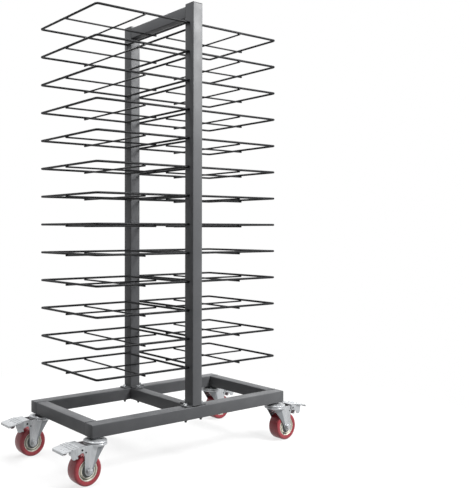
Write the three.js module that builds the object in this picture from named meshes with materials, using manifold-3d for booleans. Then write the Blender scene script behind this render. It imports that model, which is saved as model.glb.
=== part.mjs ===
// A double-sided rolling drying rack. Levels of wire shelves plug into two square-tube
// posts, which stand bolted on a square-tube base with four braked swivel casters.
// Millimetres, +Z up, origin on the floor under the middle of the base.
// +X runs along the long rails and -Y is the front.

import * as THREE from 'three';
import { mergeVertices } from 'three/addons/utils/BufferGeometryUtils.js';
import loadManifold from 'manifold-3d';

const wasm = await loadManifold();
wasm.setup();

// Gaps
const seatGap = 0.3; // between faces that are seated, pressed or welded together
const boreGap = 0.4; // round a pin, bolt or wire in its hole
const raceGap = 0.6; // between the two races of a swivel head
const sideGap = 1.5; // between a tyre and the fork leg beside it

// Base frame
const baseLength = 852;
const baseDepth = 401;
const railWidth = 42.5;
const railHeight = 42;
const railWall = 2;
const railCorner = 3;
const railEndPlate = 2;

// Posts and top bar
const postSize = 42.5;
const postWall = 2;
const postCorner = 3;
const postSetback = 0; // post face behind the outer face of its rail
const postHeadroom = 64; // from the top shelf to the top of the post
const barHeight = 40;
const barWidth = 40.5;
const barWall = 2;
const barDrop = 4; // bar top below post top
const capThickness = 2.5;
const capSkirt = 14;
const capWall = 2;

// Post feet and their bolts
const footThickness = 4;
const footWidth = 36;
const footCorner = 6;
const boltReach = 34; // from the post axis to each bolt on the long rail
const boltInward = 40; // from the post axis to the bolt on the centre rail
const boltEdge = 12; // from a bolt to the end of its ear
const boltRadius = 4;
const boltHeadAcross = 13; // across the flats, nut alike
const boltHeadHeight = 5.5;
const boltTail = 6; // bolt end past its nut
const washerRadius = 8.5;
const washerThickness = 1.6;

// Wire shelves
const levels = 13;
const shelfPitch = 98;
const bottomShelfHeight = 132; // above the rails
const shelfLength = 375; // from the post face to the outer wire
const shelfBend = 9;
const frameWire = 7;
const crossWire = 5.5;
const innerWireOffset = 6; // from the post face to the inner wire
const crossWireEnd = 1.5; // cross wire past the frame wire it is welded under
const weldSink = 0.8; // depth that a welded wire sinks into the one above
const prongDepth = 14; // prong inside the post

// Caster head and fork
const casterInset = 24; // swivel axis from the end of the base
const studRadius = 6;
const studLength = 22;
const collarRadius = 11;
const collarHeight = 4;
const raceRadius = 38;
const raceDome = 5;
const raceRim = 5.5;
const kingpinRadius = 7;
const kingpinHead = 11;
const kingpinHeadHeight = 4;
const crownThickness = 3.5;
const crownLip = 7;
const legThickness = 3;
const legInset = 1; // leg edge inside the crown's rim
const trail = 40; // axle behind the swivel axis
const axleDrop = 94; // axle below the rails
const axleBoss = 15;
const strapWidth = 30;

// Caster wheel
const wheelDiameter = 100;
const tyreWidth = 46;
const tyreThickness = 16;
const tyreShoulder = 7;
const hubRimDepth = 1.5; // hub rim inside the tyre's side
const hubGroove = 7; // depth of the ring-shaped recess in each side
const hubRing = 3;
const bearingRadius = 22;
const axleRadius = 6;
const axleNutAcross = 18;
const axleNutHeight = 8;
const axleTail = 3; // axle end past its nut

// Brake pedal
const pinReach = 66; // hinge pin in front of the swivel axis
const pinDrop = 25; // hinge pin below the rails
const pinRadius = 3.5;
const earRadius = 9;
const pedalLength = 68; // from the hinge pin to the tip
const pedalTail = 10; // plate behind the hinge pin
const pedalFlat = 12; // level stretch in front of the hinge pin
const pedalFall = 10; // drop of the tip below the level stretch
const pedalLip = 5;
const pedalSheet = 2.5;
const pedalRise = 1; // sheet above the fork's ears
const pedalTipWidth = 72;
const pedalCorner = 10;
const ridgeCount = 3;
const ridgePitch = 9;
const ridgeHeight = 1;
const ridgeWidth = 3;
const flangeLength = 42;
const flangeWrap = THREE.MathUtils.degToRad(100); // flange's round edge under the hinge pin
const lobeReach = 28; // flange's hanging lobe in front of the hinge pin
const lobeDrop = 15; // lobe's centre below the hinge pin
const lobeRadius = 11;
const shoeGap = 6.8; // brake shoe off the tread, pedal up
const shoeAngle = THREE.MathUtils.degToRad(132.5); // shoe round the axle from the rear

// Facets of round pieces
const wireSides = 5;
const crossWireSides = 4;
const boltSides = 6;
const boreSides = 6;
const roundSides = 10;
const tyreSides = 20;

// Derived sizes
const wheelRadius = wheelDiameter / 2;
const railBottom = axleDrop + wheelRadius;
const railTop = railBottom + railHeight;
const postY = baseDepth / 2 - postSetback - postSize / 2;
const postHeight = bottomShelfHeight + (levels - 1) * shelfPitch + postHeadroom;
const endRailX = baseLength / 2 - railWidth / 2;
const stemX = baseLength / 2 - casterInset;
const stemY = baseDepth / 2 - railWidth / 2;
const crossRailLength = baseDepth - 2 * railWidth - 2 * seatGap;
const legInner = tyreWidth / 2 + sideGap;
const legOuter = legInner + legThickness;
const raceBottom = collarHeight + raceDome + raceRim;
const crownTop = raceBottom + raceGap;

const finishes = {
  paint: { color: 0x4a4c4e, roughness: 0.5, metalness: 0.3 },
  plastic: { color: 0x2c2d2f, roughness: 0.6, metalness: 0 },
  zinc: { color: 0xc4c8ca, roughness: 0.28, metalness: 0.95 },
  tread: { color: 0x9e3038, roughness: 0.4, metalness: 0 },
  core: { color: 0xd8d4bd, roughness: 0.45, metalness: 0 },
};

const AXIS = {
  x: new THREE.Vector3(1, 0, 0),
  y: new THREE.Vector3(0, 1, 0),
  z: new THREE.Vector3(0, 0, 1),
};

// Turns a closed three.js geometry into a solid that can be joined and cut.
function solidOf(geometry) {
  const bare = geometry.clone();
  bare.deleteAttribute('normal');
  bare.deleteAttribute('uv');
  const merged = mergeVertices(bare, 1e-4);
  const index = merged.index.array;
  const triangles = [];
  for (let i = 0; i < index.length; i += 3) {
    const [a, b, c] = [index[i], index[i + 1], index[i + 2]];
    if (a !== b && b !== c && c !== a) triangles.push(a, b, c);
  }
  return new wasm.Manifold(new wasm.Mesh({
    numProp: 3,
    vertProperties: new Float32Array(merged.attributes.position.array),
    triVerts: new Uint32Array(triangles),
  }));
}

function geometryOf(solid) {
  const mesh = solid.getMesh();
  const geometry = new THREE.BufferGeometry();
  geometry.setAttribute('position', new THREE.BufferAttribute(mesh.vertProperties, 3));
  geometry.setIndex(new THREE.BufferAttribute(mesh.triVerts, 1));
  geometry.computeVertexNormals();
  return geometry;
}

function join(...geometries) {
  return geometryOf(geometries.map(solidOf).reduce((whole, piece) => whole.add(piece)));
}

function cut(geometry, ...tools) {
  return geometryOf(tools.map(solidOf).reduce((rest, tool) => rest.subtract(tool), solidOf(geometry)));
}

function common(first, second) {
  return geometryOf(solidOf(first).intersect(solidOf(second)));
}

// Stands a shape drawn in XY and extruded along Z with its length along the named axis.
// Along x or y, the shape's height stays upright.
function along(axis, geometry) {
  const basis = new THREE.Matrix4();
  if (axis === 'x') basis.makeBasis(AXIS.y, AXIS.z, AXIS.x);
  if (axis === 'y') basis.makeBasis(AXIS.x.clone().negate(), AXIS.z, AXIS.y);
  return geometry.applyMatrix4(basis);
}

// A plate whose outline is drawn in X and Z, with its thickness centred on y.
function sidePlate(shape, thickness, y, curveSegments = 3) {
  const plate = extrude(shape, thickness, curveSegments);
  return plate.rotateX(Math.PI / 2).translate(0, y, 0);
}

function extrude(shape, depth, curveSegments = 2) {
  const options = { depth, bevelEnabled: false, curveSegments };
  return new THREE.ExtrudeGeometry(shape, options).translate(0, 0, -depth / 2);
}

// A straight round bar centred on the origin, with its corners on the radius.
function rod(radius, length, axis, sides = roundSides) {
  const bar = new THREE.CylinderGeometry(radius, radius, length, sides);
  if (axis === 'x') bar.rotateZ(Math.PI / 2);
  if (axis === 'z') bar.rotateX(Math.PI / 2);
  return bar;
}

// The corner radius of a polygon with its flats on the given radius.
function overFlats(radius, sides) {
  return radius / Math.cos(Math.PI / sides);
}

// A tool that cuts a round hole, with its flats on the radius.
function bore(radius, length, axis, sides = boreSides) {
  return rod(overFlats(radius, sides), length, axis, sides);
}

function hexagon(acrossFlats, height, axis) {
  return rod(acrossFlats / Math.sqrt(3), height, axis, 6);
}

// Revolves pairs of radius and height round the named axis.
function revolve(profile, axis, sides) {
  const points = profile.map(([radius, height]) => new THREE.Vector2(radius, height));
  const turned = new THREE.LatheGeometry(points, sides);
  if (axis === 'z') turned.rotateX(Math.PI / 2);
  return turned;
}

function roundedRectangle(width, height, radius, path = new THREE.Shape()) {
  const x = width / 2 - radius;
  const y = height / 2 - radius;
  path.absarc(x, y, radius, 0, Math.PI / 2);
  path.absarc(-x, y, radius, Math.PI / 2, Math.PI);
  path.absarc(-x, -y, radius, Math.PI, Math.PI * 1.5);
  path.absarc(x, -y, radius, Math.PI * 1.5, Math.PI * 2);
  path.closePath();
  return path;
}

function tubeSection(width, height, wall, corner) {
  const section = roundedRectangle(width, height, corner);
  const inside = roundedRectangle(width - 2 * wall, height - 2 * wall, corner - wall, new THREE.Path());
  section.holes.push(inside);
  return section;
}

// A bent wire's centre line, stepped at its own points and mitred at each.
class WirePath extends THREE.Curve {
  constructor(points) {
    super();
    this.points = points;
  }

  getPoint(t, target = new THREE.Vector3()) {
    const place = t * (this.points.length - 1);
    const start = Math.min(Math.floor(place + 1e-9), this.points.length - 2);
    return target.lerpVectors(this.points[start], this.points[start + 1], place - start);
  }

  getPointAt(u, target) {
    return this.getPoint(u, target);
  }

  getTangentAt(u, target = new THREE.Vector3()) {
    const last = this.points.length - 1;
    const at = Math.round(u * last);
    const before = this.points[Math.max(at - 1, 0)];
    const here = this.points[at];
    const after = this.points[Math.min(at + 1, last)];
    const arrive = here.clone().sub(before).normalize();
    const leave = after.clone().sub(here).normalize();
    return target.addVectors(arrive, leave).normalize();
  }
}

// The corner radius of a polygon with the same area as the round wire.
function wireCorner(diameter, sides) {
  const turn = 2 * Math.PI / sides;
  return diameter / 2 * Math.sqrt(turn / Math.sin(turn));
}

function wireFlat(diameter, sides) {
  return wireCorner(diameter, sides) * Math.cos(Math.PI / sides);
}

// A wire with its underside flat, or with a corner up and down when the roll is 0.
function wire(points, diameter, sides, roll = 0.5) {
  const radius = wireCorner(diameter, sides);
  const section = new THREE.Shape();
  for (let side = 0; side < sides; side += 1) {
    const angle = (side + roll) * 2 * Math.PI / sides;
    const corner = [Math.cos(angle) * radius, Math.sin(angle) * radius];
    if (side === 0) section.moveTo(...corner);
    else section.lineTo(...corner);
  }
  const steps = points.length - 1;
  return new THREE.ExtrudeGeometry(section, { steps, extrudePath: new WirePath(points) });
}

// Base rails

function boltHoles(places) {
  const holeRadius = boltRadius + boreGap;
  return places.map(([x, y]) => bore(holeRadius, railHeight * 2, 'z', boltSides).translate(x, y, 0));
}

// A long rail is closed at both ends. It is pierced for two foot bolts, and from
// below for a caster stud near each end.
function longRail() {
  const outside = along('x', extrude(roundedRectangle(railWidth, railHeight, railCorner), baseLength));
  const hollow = along('x', extrude(
    roundedRectangle(railWidth - 2 * railWall, railHeight - 2 * railWall, railCorner - railWall),
    baseLength - 2 * railEndPlate,
  ));
  const postOffset = stemY - postY;
  const bolts = boltHoles([[-boltReach, postOffset], [boltReach, postOffset]]);
  const studs = [-stemX, stemX].map((x) => (
    bore(studRadius + boreGap, railHeight, 'z').translate(x, 0, -railHeight / 2)
  ));
  return cut(outside, hollow, ...bolts, ...studs);
}

function endRail() {
  const section = tubeSection(railWidth, railHeight, railWall, railCorner);
  return along('y', extrude(section, crossRailLength));
}

function centreRail() {
  const inward = postY - boltInward;
  return cut(endRail(), ...boltHoles([[0, -inward], [0, inward]]));
}

// Posts

// A hexagon bolt with its washer on the foot, its shank through the rail and a nut below.
function footBolt() {
  const headBase = footThickness + seatGap;
  const nutTop = -railHeight - seatGap;
  const shankTop = headBase + washerThickness + boltHeadHeight / 2;
  const shankBottom = nutTop - boltHeadHeight - boltTail;
  const shank = rod(boltRadius, shankTop - shankBottom, 'z', boltSides);
  const washer = rod(washerRadius, washerThickness + weldSink, 'z', boreSides);
  const head = hexagon(boltHeadAcross, boltHeadHeight, 'z');
  const nut = hexagon(boltHeadAcross, boltHeadHeight, 'z');
  return join(
    shank.translate(0, 0, (shankTop + shankBottom) / 2),
    washer.translate(0, 0, headBase + (washerThickness - weldSink) / 2),
    head.translate(0, 0, headBase + washerThickness + boltHeadHeight / 2),
    nut.translate(0, 0, nutTop - boltHeadHeight / 2),
  );
}

// The foot has an ear along the rail on each side and one inward on the centre rail.
function footPlate() {
  const sideWidth = 2 * (boltReach + boltEdge);
  const inwardWidth = boltInward + boltEdge + footWidth / 2;
  const sideEars = extrude(roundedRectangle(sideWidth, footWidth, footCorner), footThickness);
  const inwardEar = extrude(roundedRectangle(footWidth, inwardWidth, footCorner), footThickness);
  return join(sideEars, inwardEar.translate(0, (inwardWidth - footWidth) / 2, 0))
    .translate(0, 0, seatGap + footThickness / 2);
}

// Drawn as the front post, standing on the rail top, with its inward side along +Y.
function post() {
  const tubeBottom = seatGap + footThickness - weldSink;
  const tubeLength = postHeight - tubeBottom;
  const tube = extrude(tubeSection(postSize, postSize, postWall, postCorner), tubeLength)
    .translate(0, 0, tubeBottom + tubeLength / 2);
  const bolt = footBolt();
  const places = [[-boltReach, 0], [boltReach, 0], [0, boltInward]];
  const bolts = places.map(([x, y]) => bolt.clone().translate(x, y, 0));
  const prongHoles = [];
  for (let level = 0; level < levels; level += 1) {
    const z = bottomShelfHeight + level * shelfPitch;
    const ends = [new THREE.Vector3(-postSize, 0, z), new THREE.Vector3(postSize, 0, z)];
    prongHoles.push(wire(ends, frameWire + 2 * boreGap, wireSides));
  }
  return join(cut(tube, ...prongHoles), footPlate(), ...bolts);
}

// A moulded plug: a flat head over the post's end, and a skirt inside the tube.
function postCap() {
  const skirtWidth = postSize - 2 * postWall - 2 * seatGap;
  const skirtCorner = Math.max(postCorner - postWall, seatGap);
  const head = extrude(roundedRectangle(postSize, postSize, postCorner), capThickness, 1);
  const skirt = extrude(tubeSection(skirtWidth, skirtWidth, capWall, capWall + skirtCorner), capSkirt, 1);
  return join(
    head.translate(0, 0, seatGap + capThickness / 2),
    skirt.translate(0, 0, seatGap + weldSink - capSkirt / 2),
  );
}

function topBar() {
  const length = 2 * (postY - postSize / 2 - seatGap);
  return along('y', extrude(tubeSection(barWidth, barHeight, barWall, postCorner), length));
}

// Shelves

// Drawn for the +X side, with X measured from the post face. The frame wire is a U
// whose ends are the prongs, and the cross wires are welded under it.
function shelf() {
  const bendStart = shelfLength - shelfBend;
  const sideStart = postY - shelfBend;
  const bendSteps = 2;
  const points = [new THREE.Vector3(-prongDepth, -postY, 0)];
  for (const side of [-1, 1]) {
    for (let step = 0; step <= bendSteps; step += 1) {
      const turn = (side < 0 ? step : bendSteps - step) / bendSteps * Math.PI / 2;
      const x = bendStart + Math.sin(turn) * shelfBend;
      const y = side * (sideStart + Math.cos(turn) * shelfBend);
      points.push(new THREE.Vector3(x, y, 0));
    }
  }
  points.push(new THREE.Vector3(-prongDepth, postY, 0));
  const under = weldSink - wireFlat(frameWire, wireSides) - wireCorner(crossWire, crossWireSides);
  const past = (frameWire / 2) + crossWireEnd;
  const middle = (innerWireOffset + shelfLength) / 2;
  const inner = [
    new THREE.Vector3(innerWireOffset, -postY, 0),
    new THREE.Vector3(innerWireOffset, postY, 0),
  ];
  const lengthwise = [
    new THREE.Vector3(innerWireOffset - frameWire / 2, 0, under),
    new THREE.Vector3(shelfLength + past, 0, under),
  ];
  const crosswise = [
    new THREE.Vector3(middle, -postY - past, under),
    new THREE.Vector3(middle, postY + past, under),
  ];
  return join(
    wire(points, frameWire, wireSides),
    wire(inner, frameWire, wireSides),
    wire(lengthwise, crossWire, crossWireSides, 0),
    wire(crosswise, crossWire, crossWireSides, 0),
  );
}

// Casters, drawn with the swivel axis on Z, the rail's underside at 0 and the wheel trailing to -X

// The stud and its collar, the domed upper race and the kingpin rivet that holds the fork.
function casterStem() {
  const rivetTop = crownTop + crownThickness + raceGap;
  return revolve([
    [0, -rivetTop - kingpinHeadHeight],
    [kingpinHead, -rivetTop - kingpinHeadHeight],
    [kingpinHead, -rivetTop],
    [kingpinRadius, -rivetTop],
    [kingpinRadius, -raceBottom],
    [raceRadius, -raceBottom],
    [raceRadius, -raceBottom + raceRim],
    [collarRadius, -collarHeight],
    [collarRadius, -seatGap],
    [studRadius, -seatGap],
    [studRadius, studLength],
    [0, studLength],
  ], 'z', roundSides);
}

// One side of the fork: a slanted rear edge, a strap down to the axle, a hollow front
// edge over the tyre and a round ear for the brake pedal's hinge pin.
function forkLegShape() {
  const topRear = Math.sqrt(raceRadius ** 2 - legOuter ** 2) - legInset;
  const legTop = -crownTop - crownThickness / 2;
  const strapFront = -trail - strapWidth / 2;
  const strapRear = -trail + axleBoss;
  const shape = new THREE.Shape();
  shape.moveTo(topRear, legTop);
  shape.lineTo(topRear, -crownTop - crownLip);
  shape.quadraticCurveTo(
    strapRear + axleBoss, -axleDrop + 2 * axleBoss,
    strapRear, -axleDrop,
  );
  shape.absarc(-trail, -axleDrop, axleBoss, 0, -Math.PI, true);
  shape.lineTo(strapFront, -axleDrop + wheelRadius - tyreThickness);
  shape.quadraticCurveTo(
    strapFront, -pinDrop - earRadius,
    -pinReach, -pinDrop - earRadius,
  );
  shape.absarc(-pinReach, -pinDrop, earRadius, Math.PI * 1.5, Math.PI / 2, true);
  shape.lineTo(-topRear, -pinDrop + earRadius);
  shape.lineTo(-topRear, legTop);
  shape.closePath();
  return shape;
}

function fork() {
  const hole = overFlats(kingpinRadius + boreGap, roundSides);
  const crown = revolve([
    [hole, -crownTop - crownThickness],
    [raceRadius - crownThickness, -crownTop - crownThickness],
    [raceRadius - crownThickness, -crownTop - crownLip],
    [raceRadius, -crownTop - crownLip],
    [raceRadius, -crownTop],
    [hole, -crownTop],
    [hole, -crownTop - crownThickness],
  ], 'z', roundSides);
  const legMiddle = legInner + legThickness / 2;
  const legs = [-legMiddle, legMiddle].map((y) => sidePlate(forkLegShape(), legThickness, y));
  const axleHole = bore(axleRadius + boreGap, 3 * legOuter, 'y').translate(-trail, 0, -axleDrop);
  const pinHole = bore(pinRadius + boreGap, 3 * legOuter, 'y').translate(-pinReach, 0, -pinDrop);
  return cut(join(crown, ...legs), axleHole, pinHole);
}

// The axle bolt: head and nut outside the legs.
function axle() {
  const nutFace = legOuter + seatGap;
  const length = 2 * (nutFace + axleNutHeight) + axleTail;
  const nuts = [-1, 1].map((side) => (
    hexagon(axleNutAcross, axleNutHeight, 'y').translate(0, side * (nutFace + axleNutHeight / 2), 0)
  ));
  const shank = rod(axleRadius, length, 'y', boreSides).translate(0, -axleTail / 2, 0);
  return join(shank, ...nuts).translate(-trail, 0, -axleDrop);
}

function tyre() {
  const half = tyreWidth / 2;
  const seat = overFlats(wheelRadius - tyreThickness, tyreSides);
  const tread = overFlats(wheelRadius, tyreSides);
  return revolve([
    [seat, -half + hubRimDepth],
    [tread - tyreShoulder, -half],
    [tread, -half + tyreShoulder],
    [tread, half - tyreShoulder],
    [tread - tyreShoulder, half],
    [seat, half - hubRimDepth],
    [seat, -half + hubRimDepth],
  ], 'y', tyreSides).rotateY(Math.PI / tyreSides).translate(-trail, 0, -axleDrop);
}

// The moulded core: a rim ring, a ring-shaped recess and the bearing boss round the axle.
function hub() {
  const rim = wheelRadius - tyreThickness - seatGap;
  const face = tyreWidth / 2 - hubRimDepth;
  const floor = face - hubGroove;
  const bossFace = legInner - seatGap;
  const hole = overFlats(axleRadius + boreGap, roundSides);
  const side = [
    [rim, face],
    [rim - hubRing, face],
    [rim - 2 * hubRing, floor],
    [bearingRadius, floor],
    [bearingRadius - hubRing, bossFace],
    [hole, bossFace],
  ];
  const back = side.map(([radius, y]) => [radius, -y]).reverse();
  const profile = [...back, ...side, back[0]];
  return revolve(profile, 'y', roundSides).translate(-trail, 0, -axleDrop);
}

// The pedal's sheet in side view, from behind the hinge pin to the turned-down tip,
// with grip ridges across its sloping part.
function pedalSideShape() {
  const top = -pinDrop + earRadius + pedalRise + pedalSheet;
  const flatEnd = -pinReach - pedalFlat;
  const tip = -pinReach - pedalLength;
  const slope = pedalFall / (flatEnd - tip);
  const height = (x) => top - (flatEnd - x) * slope;
  const shape = new THREE.Shape();
  shape.moveTo(-pinReach + pedalTail, top - pedalSheet);
  shape.lineTo(-pinReach + pedalTail, top);
  shape.lineTo(flatEnd, top);
  for (let ridge = 1; ridge <= ridgeCount; ridge += 1) {
    const x = flatEnd - ridge * ridgePitch;
    shape.lineTo(x + ridgeWidth / 2, height(x + ridgeWidth / 2));
    shape.lineTo(x, height(x) + ridgeHeight);
    shape.lineTo(x - ridgeWidth / 2, height(x - ridgeWidth / 2));
  }
  shape.lineTo(tip, height(tip));
  shape.lineTo(tip - pedalSheet, height(tip) - pedalSheet);
  shape.lineTo(tip - pedalSheet, height(tip) - pedalSheet - pedalLip);
  shape.lineTo(tip, height(tip) - pedalSheet - pedalLip);
  shape.lineTo(tip, height(tip) - pedalSheet);
  shape.lineTo(flatEnd, top - pedalSheet);
  shape.closePath();
  return shape;
}

// The pedal's outline from above: as wide as its hinge flanges, then splayed to the tip.
function pedalPlanShape(flangeOuter) {
  const rear = -pinReach + pedalTail;
  const neck = -pinReach - pedalFlat;
  const tip = -pinReach - pedalLength - pedalSheet;
  const half = pedalTipWidth / 2;
  const shape = new THREE.Shape();
  shape.moveTo(rear, -flangeOuter);
  shape.lineTo(rear, flangeOuter);
  shape.lineTo(neck, flangeOuter);
  shape.quadraticCurveTo(neck - pedalCorner, half, neck - 2 * pedalCorner, half);
  shape.lineTo(tip + pedalCorner / 2, half);
  shape.lineTo(tip, half - pedalCorner / 2);
  shape.lineTo(tip, -half + pedalCorner / 2);
  shape.lineTo(tip + pedalCorner / 2, -half);
  shape.lineTo(neck - 2 * pedalCorner, -half);
  shape.quadraticCurveTo(neck - pedalCorner, -half, neck, -flangeOuter);
  shape.closePath();
  return shape;
}

// A hinge flange hangs from the sheet: round the pin, then in a lobe beside the tread.
function pedalFlangeShape() {
  const sheetBottom = -pinDrop + earRadius + pedalRise + pedalSheet / 2;
  const front = -pinReach - flangeLength;
  const slope = pedalFall / (pedalLength - pedalFlat);
  const shape = new THREE.Shape();
  shape.moveTo(-pinReach + earRadius, sheetBottom);
  shape.lineTo(-pinReach + earRadius, -pinDrop);
  shape.absarc(-pinReach, -pinDrop, earRadius, 0, -flangeWrap, true);
  shape.absarc(-pinReach - lobeReach, -pinDrop - lobeDrop, lobeRadius, 0, -Math.PI, true);
  shape.lineTo(front, sheetBottom - pedalSheet - (flangeLength - pedalFlat) * slope);
  shape.lineTo(-pinReach - pedalFlat, sheetBottom);
  shape.closePath();
  return shape;
}

// The brake shoe: a tongue from the sheet down to the tread, in front of the fork ears.
function brakeShoeShape() {
  const reach = wheelRadius + shoeGap;
  const tipX = -trail + Math.cos(shoeAngle) * reach;
  const tipZ = -axleDrop + Math.sin(shoeAngle) * reach;
  const rootX = -pinReach - pedalFlat - pedalSheet;
  const rootZ = -pinDrop + earRadius + pedalRise + pedalSheet / 2;
  const shape = new THREE.Shape();
  shape.moveTo(rootX, rootZ);
  shape.lineTo(rootX - pedalSheet, rootZ - pedalSheet / 2);
  shape.quadraticCurveTo(
    tipX - 3 * pedalSheet, tipZ + 2 * pedalSheet,
    tipX - pedalSheet, tipZ,
  );
  shape.lineTo(tipX, tipZ);
  shape.lineTo(tipX + pedalSheet, tipZ + pedalSheet);
  shape.quadraticCurveTo(tipX - pedalSheet / 2, tipZ + 3 * pedalSheet, rootX, rootZ);
  return shape;
}

function pedal() {
  const flangeInner = legOuter + seatGap;
  const flangeOuter = flangeInner + pedalSheet;
  const flangeMiddle = flangeInner + pedalSheet / 2;
  const sheet = common(
    sidePlate(pedalSideShape(), 2 * pedalTipWidth, 0),
    extrude(pedalPlanShape(flangeOuter), 4 * pinDrop),
  );
  const flanges = [-flangeMiddle, flangeMiddle].map((y) => sidePlate(pedalFlangeShape(), pedalSheet, y, 2));
  const pinLength = 2 * (flangeOuter + pedalSheet / 2);
  const pin = rod(pinRadius, pinLength, 'y', boreSides).translate(-pinReach, 0, -pinDrop);
  const shoe = sidePlate(brakeShoeShape(), tyreWidth, 0, 2);
  return join(sheet, ...flanges, pin, shoe);
}

// Assembly

const rack = new THREE.Group();

function place(parent, name, geometry, finish, x = 0, y = 0, z = 0, turn = 0) {
  const mesh = new THREE.Mesh(geometry, new THREE.MeshStandardMaterial(finishes[finish]));
  mesh.name = name;
  mesh.position.set(x, y, z);
  mesh.rotation.z = turn;
  parent.add(mesh);
}

function addBase() {
  const middle = railTop - railHeight / 2;
  const rail = longRail();
  const end = endRail();
  place(rack, 'front_rail', rail, 'paint', 0, -stemY, middle);
  place(rack, 'rear_rail', rail, 'paint', 0, stemY, middle, Math.PI);
  place(rack, 'left_rail', end, 'paint', -endRailX, 0, middle);
  place(rack, 'right_rail', end, 'paint', endRailX, 0, middle);
  place(rack, 'centre_rail', centreRail(), 'paint', 0, 0, middle);
}

function addPosts() {
  const upright = post();
  const cap = postCap();
  const top = railTop + postHeight;
  place(rack, 'front_post', upright, 'paint', 0, -postY, railTop);
  place(rack, 'rear_post', upright, 'paint', 0, postY, railTop, Math.PI);
  place(rack, 'front_post_cap', cap, 'plastic', 0, -postY, top);
  place(rack, 'rear_post_cap', cap, 'plastic', 0, postY, top);
  place(rack, 'top_bar', topBar(), 'paint', 0, 0, top - barDrop - barHeight / 2);
}

// Levels are numbered from the top down.
function addShelves() {
  const pattern = shelf();
  for (let level = 0; level < levels; level += 1) {
    const number = String(levels - level).padStart(2, '0');
    const z = railTop + bottomShelfHeight + level * shelfPitch;
    place(rack, `shelf_left_${number}`, pattern, 'paint', -postSize / 2, 0, z, Math.PI);
    place(rack, `shelf_right_${number}`, pattern, 'paint', postSize / 2, 0, z);
  }
}

// Each wheel trails outward, to the end of the base that its caster stands at.
function addCasters() {
  const pieces = [
    ['stem', casterStem(), 'zinc'],
    ['fork', fork(), 'zinc'],
    ['axle', axle(), 'zinc'],
    ['hub', hub(), 'core'],
    ['tyre', tyre(), 'tread'],
    ['pedal', pedal(), 'zinc'],
  ];
  for (const [end, sideX] of [['left', -1], ['right', 1]]) {
    for (const [row, sideY] of [['front', -1], ['rear', 1]]) {
      const caster = new THREE.Group();
      caster.position.set(sideX * stemX, sideY * stemY, railBottom);
      caster.rotation.z = sideX < 0 ? 0 : Math.PI;
      for (const [piece, geometry, finish] of pieces) {
        place(caster, `${row}_${end}_caster_${piece}`, geometry, finish);
      }
      rack.add(caster);
    }
  }
}

addBase();
addPosts();
addShelves();
addCasters();

export default rack;
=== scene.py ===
import logging
import math
from dataclasses import dataclass, field, replace
from enum import Enum, IntEnum
from typing import Any, Optional, Sequence

import bmesh
import bpy
from mathutils import Matrix, Vector


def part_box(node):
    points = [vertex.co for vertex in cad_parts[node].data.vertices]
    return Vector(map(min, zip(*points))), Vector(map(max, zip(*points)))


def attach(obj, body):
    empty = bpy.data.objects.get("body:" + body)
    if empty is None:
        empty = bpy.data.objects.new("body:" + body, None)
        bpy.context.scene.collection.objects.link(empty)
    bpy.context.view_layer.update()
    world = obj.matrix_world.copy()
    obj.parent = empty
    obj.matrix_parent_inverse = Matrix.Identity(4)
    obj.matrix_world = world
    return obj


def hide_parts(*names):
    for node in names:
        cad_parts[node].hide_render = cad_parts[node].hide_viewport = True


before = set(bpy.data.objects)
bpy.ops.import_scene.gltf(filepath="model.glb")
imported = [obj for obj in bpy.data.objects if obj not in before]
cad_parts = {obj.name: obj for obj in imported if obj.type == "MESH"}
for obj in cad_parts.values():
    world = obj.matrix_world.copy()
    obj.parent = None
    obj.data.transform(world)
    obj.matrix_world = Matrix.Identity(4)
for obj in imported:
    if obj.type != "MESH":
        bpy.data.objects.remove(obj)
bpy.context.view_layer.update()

log = logging.getLogger("rack")
Point = tuple[float, float]
Points = tuple[Point, ...]
Place = tuple[float, float, float]
MM = 0.001
TURN = 2 * math.pi
UP = Vector((0, 0, 1))
ACROSS = Vector((0, 1, 0))
# Lays what is drawn in X and Z flat, in X and Y.
LAY_FLAT = Matrix(((1, 0, 0, 0), (0, 0, 1, 0), (0, 1, 0, 0), (0, 0, 0, 1)))
# The body that doesn't move.
RACK = "rack"

# Sizes that several pieces share, in millimetres.
RAIL_TOP = 186.0
RAIL_HEIGHT = 42.0
POST_SIZE = 42.5
POST_Y = 179.25
TUBE_CORNER = 3.0
LEVELS = 13
LEVEL_PITCH = 98.0
LOWEST_LEVEL = 132.0
GAP = 0.3
BEAD_SINK = 0.3
MERGE_MM = 1e-4

# Least angle, in degrees, of an edge that shows.
SHARP = 32.0
# Least part of a normal along the axis on the face of a bar's end.
END_FACE = 0.9
# Chamfer of a bolt head or nut as a share of its height.
HEX_CHAMFER = 0.12
# Numbers of the Mix node's sockets for colours.
MIX_SHARE, MIX_A, MIX_B, MIX_RESULT = 0, 6, 7, 2


class Steps(IntEnum):
    """Faces across a rounding, or spaces between the points of an arc or curve."""

    EDGE = 2
    FILLET = 4
    CORNER = 5
    BEND = 6
    ROUND = 8
    CURVE = 12
    LOBE = 16
    EAR = 20
    BOSS = 24
    RIDGES = 112


class Facets(IntEnum):
    """Facets round a turned shape or a wire."""

    CROSS_WIRE = 10
    FRAME_WIRE = 12
    HOLE = 16
    RIVET = 20
    PIN = 28
    AXLE = 32
    COLLAR = 40
    RACE = 64
    COVER = 72
    WHEEL = 96


def linear(hex_colour: str) -> tuple[float, float, float, float]:
    """Turns an sRGB hex colour into linear light.

    Args:
        hex_colour: six hex digits, such as "5a5c5f".

    Returns:
        Linear red, green and blue, and an alpha of 1.
    """
    parts = [int(hex_colour[i:i + 2], 16) / 255 for i in (0, 2, 4)]
    light = [c / 12.92 if c <= 0.04045 else ((c + 0.055) / 1.055) ** 2.4 for c in parts]
    return (*light, 1.0)


def add_object(name: str, data: bpy.types.ID) -> bpy.types.Object:
    """Puts a new object with this data in the scene and returns it."""
    made = bpy.data.objects.new(name, data)
    bpy.context.scene.collection.objects.link(made)
    return made


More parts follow.
